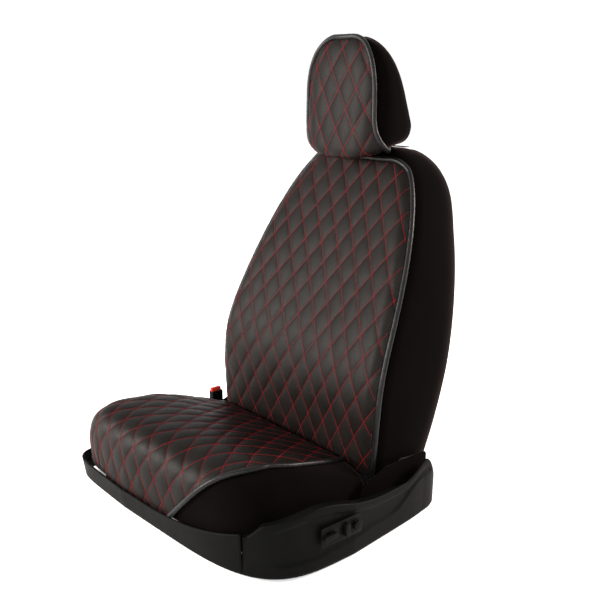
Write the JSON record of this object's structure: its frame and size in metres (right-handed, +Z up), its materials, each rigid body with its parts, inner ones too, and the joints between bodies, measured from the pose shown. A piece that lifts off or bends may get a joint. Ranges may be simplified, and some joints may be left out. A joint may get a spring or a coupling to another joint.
{
  "type": "quilted seat cover set on its front seat",
  "caption": "Quilted headrest, backrest and cushion covers with red stitching and piped edges, fitted on a power front car seat.",
  "frame": {"origin": "centre of the four floor bolt holes, on the floor", "axes": "+Z up; the seat faces -Y; +X towards the side with the seat switches"},
  "size_m": [0.6252, 0.6396, 0.8876],
  "materials": {
    "quilt": "matt, diamond quilted with red thread",
    "binding": "satin, grained",
    "thread": "twisted thread",
    "seat_fabric": "velvety",
    "webbing": "woven",
    "plastic": "fine moulded grain",
    "release_button": "smooth",
    "steel": "satin",
    "frame_steel": "black coated"
  },
  "bodies": {
    "rails": {"lower_rail_left": "frame_steel", "lower_rail_right": "frame_steel"},
    "seat_base": {"cover_cushion_panel": "quilt", "cover_cushion_piping_left": "binding", "cover_cushion_piping_right": "binding", "cover_anchor_left": "plastic", "cover_anchor_right": "plastic", "cover_strap_left": "webbing", "cover_strap_right": "webbing", "cushion_trim": "seat_fabric", "cushion_pan": "frame_steel", "side_frame_left": "frame_steel", "side_frame_right": "frame_steel", "front_cross_tube": "frame_steel", "rear_cross_tube": "frame_steel", "recline_rod": "steel", "recliner_left": "frame_steel", "recliner_right": "frame_steel", "recliner_shield_left": "seat_fabric", "recliner_shield_right": "seat_fabric", "recline_motor": "plastic", "slide_motor": "plastic", "slide_shaft": "steel", "upper_rail_left": "steel", "upper_rail_right": "steel", "front_cover": "plastic", "outboard_cover": "plastic", "inboard_cover": "plastic", "rear_cover": "plastic", "switch_bezel": "plastic", "buckle_anchor_bolt": "steel"},
    "backrest": {"backrest_trim": "seat_fabric", "backrest_arm_left": "frame_steel", "backrest_arm_right": "frame_steel", "backrest_tube_left": "frame_steel", "backrest_tube_right": "frame_steel", "backrest_tube_low": "frame_steel", "backrest_tube_top": "frame_steel", "headrest_guide_left": "plastic", "headrest_guide_right": "plastic", "cover_backrest_panel": "quilt", "cover_backrest_piping": "binding", "cover_post_strap": "webbing", "cover_post_buckle": "plastic"},
    "headrest": {"headrest_trim": "seat_fabric", "headrest_post_left": "steel", "headrest_post_right": "steel", "cover_headrest_panel": "quilt", "cover_headrest_piping": "binding"},
    "headrest_lock": {"headrest_lock_button": "plastic"},
    "buckle": {"buckle_stalk": "webbing", "buckle_housing": "plastic"},
    "buckle_release": {"buckle_button": "release_button"},
    "slide_switch": {"switch_slide": "plastic"},
    "recline_switch": {"switch_recline": "plastic"},
    "lumbar_switch": {"switch_lumbar": "plastic"}
  },
  "joints": [
    {"name": "seat_slide", "type": "slide", "parent": "rails", "child": "seat_base", "axis": [0, 1, 0], "range_m": [-0.12, 0.1]},
    {"name": "backrest_recline", "type": "hinge", "parent": "seat_base", "child": "backrest", "pos_m": [0, 0.15, 0.096], "axis": [-1, 0, 0], "range_deg": [-12, 30]},
    {"name": "headrest_height", "type": "slide", "parent": "backrest", "child": "headrest", "axis": [0, 0.1045, 0.9945], "range_m": [0, 0.06]},
    {"name": "headrest_lock_press", "type": "slide", "parent": "backrest", "child": "headrest_lock", "axis": [1, 0, 0], "range_m": [0, 0.001], "stiffness_N_per_m": 400, "springref_m": -0.001},
    {"name": "buckle_swing", "type": "hinge", "parent": "seat_base", "child": "buckle", "pos_m": [-0.263, 0.052, 0.042], "axis": [-1, 0, 0], "range_deg": [-10, 10]},
    {"name": "buckle_press", "type": "slide", "parent": "buckle", "child": "buckle_release", "axis": [0, 0, -1], "range_m": [0, 0.004], "stiffness_N_per_m": 500, "springref_m": -0.002},
    {"name": "slide_switch_move", "type": "slide", "parent": "seat_base", "child": "slide_switch", "axis": [0, 1, 0], "range_m": [-0.002, 0.002], "stiffness_N_per_m": 800},
    {"name": "recline_switch_turn", "type": "hinge", "parent": "seat_base", "child": "recline_switch", "pos_m": [0.308, -0.087, 0.068], "axis": [-1, 0, 0], "range_deg": [-8, 8], "stiffness_Nm_per_rad": 0.8},
    {"name": "lumbar_switch_press", "type": "slide", "parent": "seat_base", "child": "lumbar_switch", "axis": [-1, 0, 0], "range_m": [0, 0.0015], "stiffness_N_per_m": 800, "springref_m": -0.001}
  ]
}
